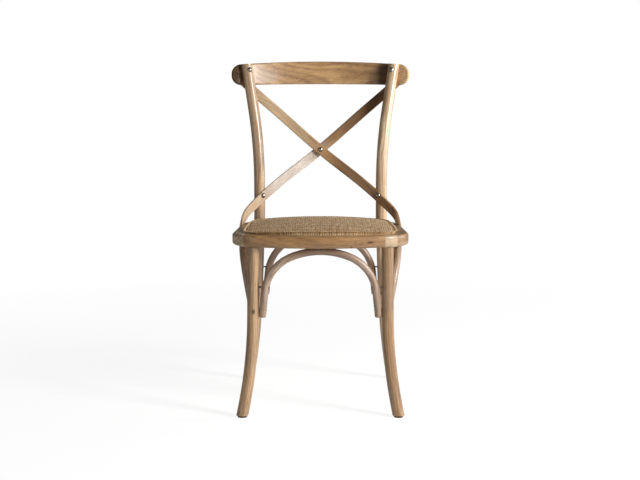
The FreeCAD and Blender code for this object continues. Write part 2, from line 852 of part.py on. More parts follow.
def make_strap_bolts(front_curve):
    post, upward = place_at_height(rear_leg_path, strap_post_height + strap_bolt_rise)
    low, through = strap_on_post()
    start = post - through * (leg_radius - strap_post_housing + strap_thickness + spot_face_depth)
    grip = strap_thickness + leg_diameter - strap_post_housing + spot_face_depth
    for side in (1, -1):
        place = V(start.x * side, start.y, start.z)
        way = V(through.x * side, through.y, through.z)
        leg = "right_rear_leg" if side > 0 else "left_rear_leg"
        strap = "front_cross_strap" if side > 0 else "rear_cross_strap"
        bolt, nut = through_bolt(place, way, grip, [leg, strap])
        add("strap_post_bolts", bolt)
        add("strap_post_nuts", nut)
    point, along, out, across = strap_at(front_curve, 0)
    way = unit(V(0, -out.y, -out.z))
    start = point - way * (strap_thickness / 2 + spot_face_depth)
    grip = 2 * strap_thickness + strap_crossing_gap + 2 * spot_face_depth
    bolt, nut = through_bolt(start, way, grip, ["front_cross_strap", "rear_cross_strap"])
    add("crossing_bolt", bolt)
    add("crossing_nut", nut)


def make_strap_screws(front_curve):
    height = chair_height - crest_height - strap_screw_drop
    post, upward = place_at_height(rear_leg_path, height)
    point, along, out, across = strap_at(front_curve, -post.x)
    lift = across * ((height - point.z) / across.z)
    head = point + lift - out * (strap_thickness / 2)
    drive_screw_pair("strap_top_screws", head, out, strap_thickness + strap_screw_bite,
                     ["front_cross_strap", "left_rear_leg"])
    foot = side_point(strap_foot_y - strap_foot_screw_back, strap_foot_inset)
    foot.z = seat_underside
    drive_screw_pair("strap_foot_screws", foot, UP, strap_foot_screw_length,
                     ["front_cross_strap", "right_side_rail"])


def make_arch_screws(arches):
    front, rear, side = arches
    for arch, arch_node, first_leg, second_leg, rail in (
            (front, "front_arch", "left_front_leg", "right_front_leg", "seat_front_rail"),
            (rear, "rear_arch", "left_rear_leg", "right_rear_leg", "seat_rear_rail"),
            (side, "right_arch", "right_front_leg", "right_rear_leg", "right_side_rail")):
        add_screw = drive_screw_pair if arch is side else drive_screw
        for sign, leg_node, leg_path in ((-1, first_leg, front_leg_path), (1, second_leg, rear_leg_path)):
            if arch is not side:
                leg_path = front_leg_path if arch is front else rear_leg_path
            for rise in arch_screw_rises:
                centre = arch.rod_point(rise, sign)
                leg, upward = place_at_height(leg_path, centre.z)
                if leg_node.startswith("left"):
                    leg = other_side(leg)
                way = leg - centre
                gap = math.hypot(way.x, way.y) - leg_radius
                way = unit(V(way.x, way.y, 0))
                head = centre - way * (arch_radius - arch_screw_sink)
                add_screw("arch_end_screws", head, way, arch_radius + gap + arch_screw_bite,
                          [arch_node, leg_node])
        crown = arch.place(V(0, arch.crown_centre.y + arch_crown_radius, 0))
        add_screw("arch_crown_screws", crown - UP * (arch_radius - arch_screw_sink), UP,
                  arch_diameter + crown_screw_bite, [arch_node, rail])


def make_leg_bolts():
    """A bolt through each rear leg and the ring, with a washer and nut inside the seat."""
    height = seat_underside + (ring_thickness - rebate_depth) / 2
    post, upward = place_at_height(rear_leg_path, height)
    centre = V(rear_corner_centre.x, rear_corner_centre.y, height)
    inward = unit(centre - post)
    start = post - inward * (leg_radius - spot_face_depth)
    inner_face = (post - centre).Length - (rear_corner_radius - ring_width) - spot_face_depth
    end = post + inward * inner_face
    grip = (end - start).Length
    length = grip + washer_thickness + hex_nut_height + leg_bolt_end
    bolt = dome_bolt(start, inward, length, leg_bolt_diameter, leg_bolt_dome)
    hole_size = leg_bolt_diameter + 2 * hole_clearance
    hole = rod(start - inward * cut_overshoot, inward, grip + ring_width, hole_size)
    head_room = rod(start - inward * bolt_pocket, inward, bolt_pocket, leg_bolt_dome + 2 * head_clearance)
    washer_room = rod(end, inward, ring_width, washer_diameter + 2 * head_clearance)
    room = hole.fuse([head_room, washer_room])
    cut_from(["right_rear_leg", "right_side_rail"], room)
    cut_from(["left_rear_leg", "left_side_rail"], mirrored(room))
    nut_start = end + inward * washer_thickness
    washer = rod(end, inward, washer_thickness, washer_diameter).cut(hole)
    nut = hexagon(nut_start, inward, hex_nut_width, hex_nut_height).cut(hole)
    add_pair("rear_leg_bolts", bolt)
    add_pair("rear_leg_washers", main_solid(washer))
    add_pair("rear_leg_nuts", main_solid(nut))


def make_dowels_and_pins():
    inner_radius = front_corner_radius - ring_width
    # One long dowel through each corner block, between the tenon and the inner edge
    middle_angle = (front_joint_angle + block_joint_angle) / 2
    free = (inner_radius + front_corner_radius - front_leg_inset - tenon_diameter / 2) / 2
    centre = polar(corner_centre, free, middle_angle)
    centre.z = seat_underside + corner_dowel_rise
    way = V(-math.sin(middle_angle), math.cos(middle_angle), 0)
    put_dowel(centre, way, corner_dowel_length,
              ["seat_front_rail", "right_corner_block", "right_side_rail"])
    # Two dowels across each rear joint
    for inset in rear_dowel_insets:
        centre = polar(rear_corner_centre, rear_corner_radius - inset, rear_joint_angle)
        centre.z = (seat_underside + ledge_height) / 2
        way = V(-math.sin(rear_joint_angle), math.cos(rear_joint_angle), 0)
        put_dowel(centre, way, dowel_length, ["right_side_rail", "seat_rear_rail"])
    # A pin from inside the ring through each front tenon
    start = polar(corner_centre, inner_radius, leg_angle)
    start.z = seat_underside + pin_rise
    way = V(math.cos(leg_angle), math.sin(leg_angle), 0)
    length = ring_width - front_leg_inset + pin_past_tenon
    outside = start - way * cut_overshoot
    length += cut_overshoot
    inner_space = rod(V(corner_centre.x, corner_centre.y, 0), UP, seat_height, inner_radius * 2)
    pin = main_solid(rod(outside, way, length, pin_diameter).cut(inner_space))
    hole = rod(outside, way, length + hole_clearance, pin_diameter + 2 * hole_clearance)
    add_pair("front_leg_pins", pin)
    for side, tool in (("right", hole), ("left", mirrored(hole))):
        cut_from([side + "_corner_block", side + "_front_leg"], tool)


def put_dowel(centre, way, length, into):
    start = centre - way * (length / 2)
    dowel = rod(start, way, length, dowel_diameter)
    hole = rod(start - way * dowel_end_gap, way, length + 2 * dowel_end_gap,
               dowel_diameter + 2 * hole_clearance)
    add_pair("seat_ring_dowels", dowel)
    cut_from(into, hole)
    cut_from([swap_side(node) for node in into], mirrored(hole))


def make_board_screws():
    inset = rebate_inset + ledge_width * board_screw_share
    length = ring_thickness - rebate_depth + board_screw_bite
    front_y = front_edge_radius - math.sqrt((front_edge_radius - inset) ** 2 - board_screw_x ** 2)
    rear_y = rear_centre.y + math.sqrt((rear_edge_radius - inset) ** 2 - board_screw_x ** 2)
    side = side_point(seat_depth / 2, inset)
    for place, rail in ((V(board_screw_x, front_y, 0), "seat_front_rail"),
                        (V(board_screw_x, rear_y, 0), "seat_rear_rail"),
                        (side, "right_side_rail")):
        head = V(place.x, place.y, seat_underside)
        drive_screw_pair("seat_board_screws", head, UP, length, [rail, "seat_board"])


def make_feet():
    """A plastic glide under each leg, held by a nail from below."""
    for name, path in (("front", front_leg_path), ("rear", rear_leg_path)):
        place, upward = place_at_height(path, glide_height)
        base = V(place.x, place.y, 0)
        glide = rod(base, UP, glide_height, glide_diameter)
        glide = glide.makeFillet(glide_edge_radius, level_edges(glide, 0))
        head = base + UP * nail_head_recess
        recess = rod(base, UP, nail_head_recess + nail_head_height, nail_head_diameter + 2 * hole_clearance)
        nail_hole = rod(base, UP, glide_height + nail_length, nail_diameter + 2 * hole_clearance)
        glide = main_solid(glide.cut(recess.fuse(nail_hole)))
        nail = rod(head, UP, nail_head_height, nail_head_diameter).fuse(
            rod(head, UP, glide_height + nail_length - 2 * nail_head_recess, nail_diameter))
        nodes["right_" + name + "_glide"] = [glide]
        nodes["left_" + name + "_glide"] = [mirrored(glide)]
        add_pair("glide_nails", main_solid(nail.removeSplitter()))
        cut_from(["right_" + name + "_leg"], nail_hole)
        cut_from(["left_" + name + "_leg"], mirrored(nail_hole))


# The whole chair

def make_frame():
    leg = front_leg()
    nodes["right_front_leg"] = [leg]
    nodes["left_front_leg"] = [mirrored(leg)]
    leg = rear_leg()
    nodes["right_rear_leg"] = [leg]
    nodes["left_rear_leg"] = [mirrored(leg)]
    nodes["crest_rail"] = [crest_rail()]
    ring = seat_ring()
    notch = bent_bar(rear_leg_path, leg_diameter + 2 * hole_clearance)
    for tool in (notch, front_leg_socket()):
        ring = ring.cut(tool).cut(mirrored(tool))
    make_seat_ring(ring)


def make_straps():
    half = (strap_thickness + strap_crossing_gap) / 2
    front_curve = strap_line(-half)
    rear_curve = strap_line(half)
    front_room = cross_strap(front_curve, hole_clearance)
    rear_room = mirrored(cross_strap(rear_curve, hole_clearance))
    nodes["front_cross_strap"] = [cross_strap(front_curve)]
    nodes["rear_cross_strap"] = [mirrored(cross_strap(rear_curve))]
    cut_from(["crest_rail", "left_rear_leg", "right_rear_leg"], front_room.fuse(rear_room))
    cut_from(["right_side_rail"], front_room)
    cut_from(["left_side_rail"], rear_room)
    return front_curve


def write_parts():
    os.makedirs("parts", exist_ok=True)
    shapes = {name: solids[0] if len(solids) == 1 else Part.makeCompound(solids)
              for name, solids in nodes.items()}
    box = Part.makeCompound(list(shapes.values())).optimalBoundingBox(True, False)
    print("outer box", round(box.XLength, 1), round(box.YLength, 1), round(box.ZLength, 1))
    for name, shape in shapes.items():
        shape.translate(V(0, -(box.YMin + box.YMax) / 2, 0))
        print(name, len(nodes[name]), round(shape.Volume), shape.isValid())
        shape.exportStep("parts/" + name + ".step")


make_frame()
front_strap_curve = make_straps()
chair_arches = (cross_arch(front_leg_path, ring_width / 2),
                cross_arch(rear_leg_path, seat_depth - ring_width / 2), side_arch())
make_arches(chair_arches)
make_seat_pad()
make_dowels_and_pins()
make_leg_bolts()
make_crest_bolts()
make_strap_bolts(front_strap_curve)
make_strap_screws(front_strap_curve)
make_arch_screws(chair_arches)
make_board_screws()
make_feet()
write_parts()
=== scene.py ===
import math
import bpy
import bmesh
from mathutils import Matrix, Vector


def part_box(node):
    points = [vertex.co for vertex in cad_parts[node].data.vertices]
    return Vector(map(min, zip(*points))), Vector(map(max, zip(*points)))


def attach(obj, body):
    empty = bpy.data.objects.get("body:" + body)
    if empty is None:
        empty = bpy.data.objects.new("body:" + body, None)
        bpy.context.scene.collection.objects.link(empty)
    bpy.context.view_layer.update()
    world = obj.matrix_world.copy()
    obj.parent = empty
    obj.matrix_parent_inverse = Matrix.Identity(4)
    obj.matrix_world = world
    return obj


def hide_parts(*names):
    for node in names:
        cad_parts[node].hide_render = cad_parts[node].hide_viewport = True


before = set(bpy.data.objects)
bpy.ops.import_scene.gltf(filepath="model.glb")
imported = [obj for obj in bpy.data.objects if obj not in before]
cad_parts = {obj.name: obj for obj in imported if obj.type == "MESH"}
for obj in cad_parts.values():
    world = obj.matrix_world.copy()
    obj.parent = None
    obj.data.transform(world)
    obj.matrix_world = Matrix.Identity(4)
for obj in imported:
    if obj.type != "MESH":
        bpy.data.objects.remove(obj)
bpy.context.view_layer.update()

scene = bpy.context.scene


# Camera
# The chair is seen straight from the front, from a little under eye height, through a long lens that
# looks slightly down. The distance is measured from the front edge of the seat.

def put_in_scene(name, data):
    """Adds an object made of this mesh, lens or lamp."""
    thing = bpy.data.objects.new(name, data)
    scene.collection.objects.link(thing)
    return thing


seat_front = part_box("seat_front_rail")[0].y
camera_distance = 3.1955
camera_height = 0.8465
camera_side = -0.0011
camera_down_degrees = 7.054
photo_width_px = 640
focal_px = 1301.0
sensor_width_mm = 36.0

lens = bpy.data.cameras.new("studio_camera")
lens.sensor_width = sensor_width_mm
lens.lens = focal_px / photo_width_px * sensor_width_mm
camera = put_in_scene("studio_camera", lens)
camera.location = (camera_side, seat_front - camera_distance, camera_height)
camera.rotation_euler = (math.radians(90 - camera_down_degrees), 0, 0)
scene.camera = camera
scene.view_settings.view_transform = "Standard"


# Floor and light
# A white paper sweep under the chair. A big soft window of light stands on its right, in front, a slim
# one on its right, a little behind, and a weak one on its left. The paper keeps a faint shadow.

def put(tree, kind, inputs=None, **settings):
    """Adds a node; each input is a plain value or the socket that feeds it."""
    node = tree.nodes.new(kind)
    for key, value in settings.items():
        setattr(node, key, value)
    for key, value in (inputs or {}).items():
        socket = node.inputs[key]
        if isinstance(value, bpy.types.NodeSocket):
            tree.links.new(value, socket)
        else:
            socket.default_value = value
    return node


def result(tree, kind, inputs=None, **settings):
    """Adds a node and returns its first output."""
    return put(tree, kind, inputs, **settings).outputs[0]


def paint(code):
    """Turns an sRGB hex colour into the linear one that nodes take."""
    parts = [int(code[i:i + 2], 16) / 255 for i in (1, 3, 5)]
    linear = [p / 12.92 if p <= 0.04045 else ((p + 0.055) / 1.055) ** 2.4 for p in parts]
    return (*linear, 1.0)


def emptied(owner):
    """Gives a material or a world an empty node tree and returns the tree."""
    owner.use_nodes = True
    owner.node_tree.nodes.clear()
    return owner.node_tree


def lit_or_seen(tree, lit, seen):
    """One value for rays that light the chair, another for those that reach the camera straight."""
    path = put(tree, "ShaderNodeLightPath").outputs
    direct = result(tree, "ShaderNodeMath", {0: path["Is Camera Ray"], 1: path["Is Transmission Ray"]},
                    operation="MAXIMUM")
    return result(tree, "ShaderNodeMapRange", {"Value": direct, "To Min": lit, "To Max": seen})


def soft_box(name, place, width, height, power):
    """A rectangular lamp, turned to the middle of the chair."""
    lamp = bpy.data.lights.new(name, "AREA")
    lamp.shape = "RECTANGLE"
    lamp.size = width
    lamp.size_y = height
    lamp.energy = power
    holder = put_in_scene(name, lamp)
    holder.location = place
    holder.rotation_euler = (Vector(chair_middle) - Vector(place)).to_track_quat("-Z", "Y").to_euler()


white = (1, 1, 1, 1)
paper_size = 14.0
paper_white = "#F4F4F4"
shadow_share = 0.25
paper_glow = 0.87
near_chair = 0.7
far_from_chair = 2.2
room_light = 0.09
chair_middle = (0, 0, 0.5)

half = paper_size / 2
paper_corners = [(-half, -half, 0), (half, -half, 0), (half, half, 0), (-half, half, 0)]
paper_mesh = bpy.data.meshes.new("paper_sweep")
paper_mesh.from_pydata(paper_corners, [], [(0, 1, 2, 3)])
paper = put_in_scene("paper_sweep", paper_mesh)
paper_material = bpy.data.materials.new("white_paper")
tree = emptied(paper_material)
place = put(tree, "ShaderNodeTexCoord").outputs["Object"]
distance = put(tree, "ShaderNodeVectorMath", {0: place}, operation="LENGTH").outputs["Value"]
far = result(tree, "ShaderNodeMapRange", {"Value": distance, "From Min": near_chair,
                                          "From Max": far_from_chair})
share = result(tree, "ShaderNodeMapRange", {"Value": far, "To Min": shadow_share, "To Max": 0.0})
level = result(tree, "ShaderNodeMapRange", {"Value": far, "To Min": paper_glow, "To Max": 1.0})
matt = result(tree, "ShaderNodeBsdfDiffuse", {"Color": paint(paper_white)})
shaded = result(tree, "ShaderNodeMixShader", {0: share, 2: matt})
glow = result(tree, "ShaderNodeEmission", {"Color": white, "Strength": level})
faint = result(tree, "ShaderNodeAddShader", {0: glow, 1: shaded})
choice = result(tree, "ShaderNodeMixShader", {0: lit_or_seen(tree, 0.0, 1.0), 1: matt, 2: faint})
put(tree, "ShaderNodeOutputMaterial", {"Surface": choice})
paper_mesh.materials.append(paper_material)

world = bpy.data.worlds.new("white_room")
tree = emptied(world)
room = result(tree, "ShaderNodeBackground", {"Color": white, "Strength": lit_or_seen(tree, room_light, 1.0)})
put(tree, "ShaderNodeOutputWorld", {"Surface": room})
scene.world = world

soft_box("window_light", (2.45, -1.6, 1.6), width=0.7, height=1.3, power=104)
soft_box("edge_light", (2.6, 0.6, 1.1), width=0.4, height=1.4, power=18)
soft_box("left_fill", (-2.4, -1.9, 0.9), width=1.4, height=1.4, power=7)


# Rear legs
# Two bent round bars of solid oak, one piece each from the floor to the top of the back, sanded, oiled
# and wiped with a thin grey wash. Everything else is bolted, screwed or housed to them.

def reckon(tree, operation, first, second=0.0, third=0.0):
    return result(tree, "ShaderNodeMath", {0: first, 1: second, 2: third}, operation=operation)


def plus(tree, first, second):
    return reckon(tree, "ADD", first, second)


def minus(tree, first, second):
    return reckon(tree, "SUBTRACT", first, second)


def times(tree, first, second):
    return reckon(tree, "MULTIPLY", first, second)


def over(tree, first, second):
    return reckon(tree, "DIVIDE", first, second)


def squares_added(tree, first, second):
    return reckon(tree, "MULTIPLY_ADD", first, first, times(tree, second, second))


def split(tree, vector):
    return put(tree, "ShaderNodeSeparateXYZ", {0: vector}).outputs


def joined(tree, x=0.0, y=0.0, z=0.0):
    return result(tree, "ShaderNodeCombineXYZ", {0: x, 1: y, 2: z})


def object_place(tree):
    return put(tree, "ShaderNodeTexCoord").outputs["Object"]


def straight_grain(along, across, deep=None):
    """Space of a sawn piece: its X runs along the grain, its Y across and its Z deep into the piece, all
    given as row directions. Without a deep one, Z is square to the other two."""
    def space(tree):
        ways = (along, across, deep or tuple(Vector(along).cross(Vector(across))))
        parts = [put(tree, "ShaderNodeVectorMath", {0: object_place(tree), 1: way},
                     operation="DOT_PRODUCT").outputs["Value"] for way in ways]
        return joined(tree, *parts)
    return space


def bent_grain(line):
    """Space of a bent standing bar, whose line gives its middle from the floor up: height, x and y."""
    def space(tree):
        parts = split(tree, object_place(tree))
        beside = []
        for axis in (0, 1):
            middle = line[0][axis + 1]
            for low, high in zip(line, line[1:]):
                shift = result(tree, "ShaderNodeMapRange", {
                    "Value": parts[2], "From Min": low[0], "From Max": high[0], "To Min": 0.0,
                    "To Max": high[axis + 1] - low[axis + 1]})
                middle = plus(tree, shift, middle)
            beside.append(minus(tree, parts[axis], middle))
        return joined(tree, parts[2], *beside)
    return space


def on_side(line, side):
    """The line of a right-hand bar, or its mirror image for a left-hand one."""
    return [(height, x * side, y) for height, x, y in line]


def stretched_noise(tree, space, size, detail, offset):
    """Noise whose grains are this long and this wide, in metres."""
    length, width = size
    sizes = result(tree, "ShaderNodeMapping", {"Vector": space, "Location": (offset, offset, offset),
                                               "Scale": (1 / length, 1 / width, 1 / width)})
    return result(tree, "ShaderNodeTexNoise", {"Vector": sizes, "Scale": 1.0, "Detail": detail})


def spread(tree, value, low, high):
    """Stretches the part of a value between low and high over 0 to 1."""
    return result(tree, "ShaderNodeMapRange", {"Value": value, "From Min": low, "From Max": high})


def mixed(tree, share, first, second):
    """A mix of two colours, with this share of the second."""
    return put(tree, "ShaderNodeMix", {0: share, 6: first, 7: second}, data_type="RGBA").outputs[2]


def set_surface(tree, inputs):
    """Ends a material's tree in one surface with these inputs."""
    surface = result(tree, "ShaderNodeBsdfPrincipled", inputs)
    put(tree, "ShaderNodeOutputMaterial", {"Surface": surface})


def ring_age(tree, parts, warp, ring_warp, pith, lean, ring_pitch):
    """How many rings out from the pith a place is. The pith lies beside the piece and may lean across it."""
    beside = reckon(tree, "MULTIPLY_ADD", parts[0], lean, minus(tree, parts[1], pith[0]))
    below = minus(tree, parts[2], pith[1])
    out = reckon(tree, "SQRT", squares_added(tree, beside, below))
    return reckon(tree, "MULTIPLY_ADD", warp, ring_warp, over(tree, out, ring_pitch))


def mark_share(tree, streak, centre, sizes, strength):
    """How strongly a mark shows: fully in its core, then less and less, with an edge ragged by the grain."""
    away = result(tree, "ShaderNodeVectorMath", {0: object_place(tree), 1: centre}, operation="SUBTRACT")
    scaled = result(tree, "ShaderNodeVectorMath", {0: away, 1: sizes}, operation="DIVIDE")
    length = put(tree, "ShaderNodeVectorMath", {0: scaled}, operation="LENGTH").outputs["Value"]
    wobble = reckon(tree, "MULTIPLY_ADD", streak, mark_raggedness, length)
    return result(tree, "ShaderNodeMapRange", {"Value": wobble, "From Min": mark_core, "From Max": mark_reach,
                                               "To Min": strength, "To Max": 0.0},
                  interpolation_type="SMOOTHSTEP")


def oiled_oak(name, space_of, tones, wash_share=0.3, pith=(0.05, 0.03), lean=0.0, ring_pitch=0.005,
              ring_warp=2.5, warp_size=(0.22, 0.03), contrast=0.45, marks=(), offset=0.0, roughness=0.34,
              coat=0.5):
    """Solid oak, oiled and wiped with a thin grey wash, in a dark, a middle and a light tone. Growth rings
    are tubes round the pith; on top come streaks, short dark pores in the early wood, and patches of wash.
    A mark, such as a knot, a stain, or a patch of painted shade or painted light, is a place, its half
    sizes, its strength and its colour; it is duller than the oiled wood round it."""
    dark, middle, light = [paint(tone) for tone in tones]
    material = bpy.data.materials.new(name)
    tree = emptied(material)
    space = space_of(tree)
    warp = stretched_noise(tree, space, warp_size, 1.0, offset)
    patch = stretched_noise(tree, space, patch_size, 2.0, offset + 3)
    streak = stretched_noise(tree, space, streak_size, 3.0, offset)
    pore = stretched_noise(tree, space, pore_size, 1.0, offset)
    age = ring_age(tree, split(tree, space), warp, ring_warp, pith, lean, ring_pitch)
    wave = reckon(tree, "SINE", times(tree, age, math.tau))
    years = reckon(tree, "SINE", times(tree, age, math.tau / rings_in_a_band))
    early = times(tree, spread(tree, wave, -0.3, 1.0), contrast)
    colour = mixed(tree, spread(tree, patch, 0.3, 0.7), middle, light)
    colour = mixed(tree, times(tree, spread(tree, years, -0.2, 1.0), contrast), colour, dark)
    colour = mixed(tree, early, colour, dark)
    colour = mixed(tree, times(tree, spread(tree, streak, 0.52, 0.75), dark_streaks), colour, dark)
    colour = mixed(tree, times(tree, spread(tree, streak, 0.48, 0.25), light_streaks), colour, light)
    colour = mixed(tree, times(tree, spread(tree, patch, 0.6, 0.35), wash_share), colour, paint(wash_grey))
    pores = times(tree, spread(tree, pore, 0.58, 0.72), plus(tree, early, 0.2))
    colour = mixed(tree, pores, colour, paint(pore_brown))
    rough = result(tree, "ShaderNodeMapRange", {"Value": pore, "From Min": 0.3, "From Max": 0.7,
                                                "To Min": roughness - 0.05, "To Max": roughness + 0.12})
    shine = coat
    for centre, sizes, strength, tone in marks:
        core = mark_share(tree, streak, centre, sizes, strength)
        darker = mixed(tree, 0.35, paint(tone), dark)
        grained = mixed(tree, spread(tree, streak, 0.38, 0.62), paint(tone), darker)
        colour = mixed(tree, core, colour, mixed(tree, 0.1, grained, colour))
        rough = reckon(tree, "MAXIMUM", rough, core)
        shine = minus(tree, shine, times(tree, core, coat))
    bump = result(tree, "ShaderNodeBump", {"Strength": 0.25, "Distance": grain_depth,
                                           "Height": mixed(tree, 0.4, streak, pore)})
    set_surface(tree, {"Base Color": colour, "Roughness": rough, "IOR": 1.5, "Specular IOR Level": 0.5,
                       "Coat Weight": shine, "Coat Roughness": oil_roughness, "Normal": bump})
    return material


def finish_with(material, *names):
    """Gives these nodes of the chair one material."""
    for name in names:
        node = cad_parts[name]
        node.data.materials.clear()
        node.data.materials.append(material)


patch_size = (0.10, 0.03)
streak_size = (0.05, 0.0020)
pore_size = (0.010, 0.0007)
rings_in_a_band = 3.4
dark_streaks = 0.7
light_streaks = 0.6
wash_grey = "#B5A28E"
pore_brown = "#3B2615"
grain_depth = 0.0004
oil_roughness = 0.27
mark_raggedness = 0.5
mark_core = 0.6
mark_reach = 1.5

oak = ("#84603A", "#BE9468", "#DAB68E")
pale_oak = ("#8C663E", "#CCA276", "#E8C9A2")
# Painted light: the right rear leg gets this paler copy of the oak, for the lamps on its right.
painted_light_oak = ("#9A7248", "#E0B688", "#F4DAB6")
brown_oak = ("#785330", "#A67D54", "#C19C73")
rear_leg_line = [(0.0, 0.204, 0.193), (0.100, 0.189, 0.165), (0.200, 0.179, 0.150), (0.450, 0.169, 0.139),
                 (0.640, 0.170, 0.141), (0.760, 0.183, 0.154), (0.900, 0.205, 0.177)]

for side, name, tones in ((-1, "left_rear_leg", pale_oak), (1, "right_rear_leg", painted_light_oak)):
    bar = bent_grain(on_side(rear_leg_line, side))
    bent_oak = oiled_oak(name + "_oak", bar, tones, pith=(0.02 * side, 0.03), offset=2.0 + side, coat=0.9)
    finish_with(bent_oak, name)


# Crest rail
# A curved plank of oak sawn from thick stock, so its long grain runs across the chair and the saw has
# opened broad flame figures in its hollow front face. Bolted on from behind the posts.

crest_tones = ("#7A5030", "#BB8D58", "#D9B07C")
# Painted shadow: the left end darkened where the left post shades it.
painted_shadow_left_end = ((-0.242, 0.168, 0.862), (0.038, 0.050, 0.100), 1.0, "#140A03")
# Painted shadow: the rail darkened beside the right post, where the post shades it.
painted_shadow_by_right_post = ((0.176, 0.192, 0.860), (0.024, 0.030, 0.080), 0.9, "#1E1006")
# Painted light: the right end made paler where the lamp on the right lights it.
painted_light_right_end = ((0.242, 0.165, 0.862), (0.026, 0.040, 0.060), 0.9, "#EECC9E")
# Painted sheen: a greyish patch where the hollow face reflects the big window light.
painted_sheen_left_part = ((-0.150, 0.205, 0.852), (0.040, 0.060, 0.022), 0.45, "#C8BEB8")
crest_oak = oiled_oak("crest_oak", straight_grain((1, 0, 0.12), (-0.12, 0, 1)), crest_tones, 0.1,
                      pith=(0.60, 0.25), lean=0.45, ring_pitch=0.019, ring_warp=6.0, warp_size=(0.22, 0.11),
                      contrast=0.40, marks=[painted_shadow_left_end, painted_shadow_by_right_post, painted_light_right_end, painted_sheen_left_part],
                      offset=5.0, roughness=0.4, coat=1.0)
finish_with(crest_oak, "crest_rail")


# Cross straps
# Two flat strips of bent ash, steamed and pressed round the posts, let in flush behind the crest rail
# and into the seat. One lies over the other and a bolt holds them where they cross.

strap_tones = ("#6E4826", "#B08455", "#CDA270")
same_all_through = (0, 0, 0)
# Painted light and shade: the straps' left halves and feet made lighter, their right halves darker.
painted_shade_lower_right = ((0.130, 0.120, 0.555), (0.140, 0.300, 0.140), 0.42, "#5A3A20")
painted_light_right_foot = ((0.176, 0.100, 0.512), (0.032, 0.060, 0.030), 0.8, "#D2AC82")
painted_light_upper_left = ((-0.095, 0.180, 0.740), (0.125, 0.200, 0.125), 0.72, "#EBCFA6")
painted_shade_upper_right = ((0.120, 0.160, 0.760), (0.130, 0.200, 0.130), 0.85, "#54351D")
painted_light_lower_left = ((-0.080, 0.110, 0.595), (0.125, 0.300, 0.115), 1.0, "#F8ECE0")
painted_light_left_foot = ((-0.188, 0.085, 0.500), (0.055, 0.150, 0.065), 0.9, "#EED3B2")

for side, name, marks in ((1, "front_cross_strap", [painted_shade_lower_right, painted_light_right_foot, painted_light_upper_left]),
                          (-1, "rear_cross_strap", [painted_shade_upper_right, painted_light_lower_left, painted_light_left_foot])):
    strip = straight_grain((side * 0.75, -0.45, -0.55), (side * 0.61, -0.62, 0.83), same_all_through)
    strap_ash = oiled_oak(name + "_ash", strip, strap_tones, 0.1, pith=(0.4, 0.3), ring_pitch=0.004,
                          contrast=0.5, marks=marks, offset=7.0 + side)
    finish_with(strap_ash, name)


# Front legs
# Round oak bars, bent outwards near the foot, with a turned tenon at the top that is glued and pinned in
# the seat's corner. The left one has a small dark knot halfway up.

front_leg_line = [(0.0, 0.198, -0.241), (0.100, 0.181, -0.223), (0.200, 0.172, -0.212),
                  (0.430, 0.169, -0.203)]
leg_knot = ((-0.1685, -0.2230, 0.266), (0.0050, 0.0120, 0.0080), 0.9, "#33200F")

for side, name, tones, marks in ((-1, "left_front_leg", oak, [leg_knot]),
                                 (1, "right_front_leg", brown_oak, [])):
    bar = bent_grain(on_side(front_leg_line, side))
    bent_oak = oiled_oak(name + "_oak", bar, tones, pith=(-0.03 * side, 0.02), marks=marks,
                         offset=14.0 + side)
    finish_with(bent_oak, name)


# Arches
# Thin round rods of bent ash under the seat, paler and greyer than the oak, screwed to the legs at
# their feet and to the ring at the crown.

def arched_grain(axis, middle, radius, centre_height):
    """Space of a rod bent into an arch along a row axis: round above a height, straight below it."""
    def space(tree):
        parts = split(tree, object_place(tree))
        across = minus(tree, parts[axis], middle)
        rise = minus(tree, parts[2], centre_height)
        above = reckon(tree, "MAXIMUM", rise, 0.0)
        below = reckon(tree, "MINIMUM", rise, 0.0)
        out = minus(tree, reckon(tree, "SQRT", squares_added(tree, across, above)), radius)
        turned = times(tree, reckon(tree, "ARCTAN2", above, across), radius)
        along = reckon(tree, "MULTIPLY_ADD", below, reckon(tree, "SIGN", across), turned)
        return joined(tree, along, out, parts[1 - axis])
    return space


ash = ("#755539", "#A8866D", "#CBB09A")
arch_wash = 0.6
# Painted shade: the crossing arches darker at the crown, under the seat.
painted_crown_shade = ((0.0, -0.2, 0.418), (0.110, 0.300, 0.030), 0.55, "#6B4A33")
cross_arch_space = arched_grain(0, middle=0.0, radius=0.146, centre_height=0.2725)
side_arch_space = arched_grain(1, middle=-0.0316, radius=0.153, centre_height=0.2655)
cross_arch = oiled_oak("cross_arch_ash", cross_arch_space, ash, arch_wash, marks=[painted_crown_shade], offset=6.0)
side_arch = oiled_oak("side_arch_ash", side_arch_space, ash, arch_wash, offset=9.0)
finish_with(cross_arch, "front_arch", "rear_arch")
finish_with(side_arch, "left_arch", "right_arch")


# Seat ring
# Six pieces of thick oak, dowelled end to end and then shaped as one rounded frame. The two short
# corner blocks are other boards: the right one is much paler than its neighbours.

ring_oak = ("#734E2A", "#A67B4B", "#C09564")
# Painted light and shade: the left rail a paler copy of the oak, the right rail a darker one.
right_rail_painted_shade_tones = ("#7A5733", "#9C754B", "#B68F66")
left_rail_painted_light_tones = ("#A5835E", "#D6B48A", "#EAD0AC")
pale_block_tones = ("#AE8B62", "#CBAD86", "#DEC6A4")
ring_knots = [((0.1245, -0.2360, 0.4430), (0.0100, 0.0160, 0.0034), 0.9, "#3A2412"),
              ((0.0770, -0.2460, 0.4325), (0.0030, 0.0120, 0.0024), 0.9, "#33200F"),
              ((0.0870, -0.2450, 0.4460), (0.0022, 0.0120, 0.0018), 0.8, "#33200F")]
side_rail_space = straight_grain((0, 1, 0), (1, 0, 0))

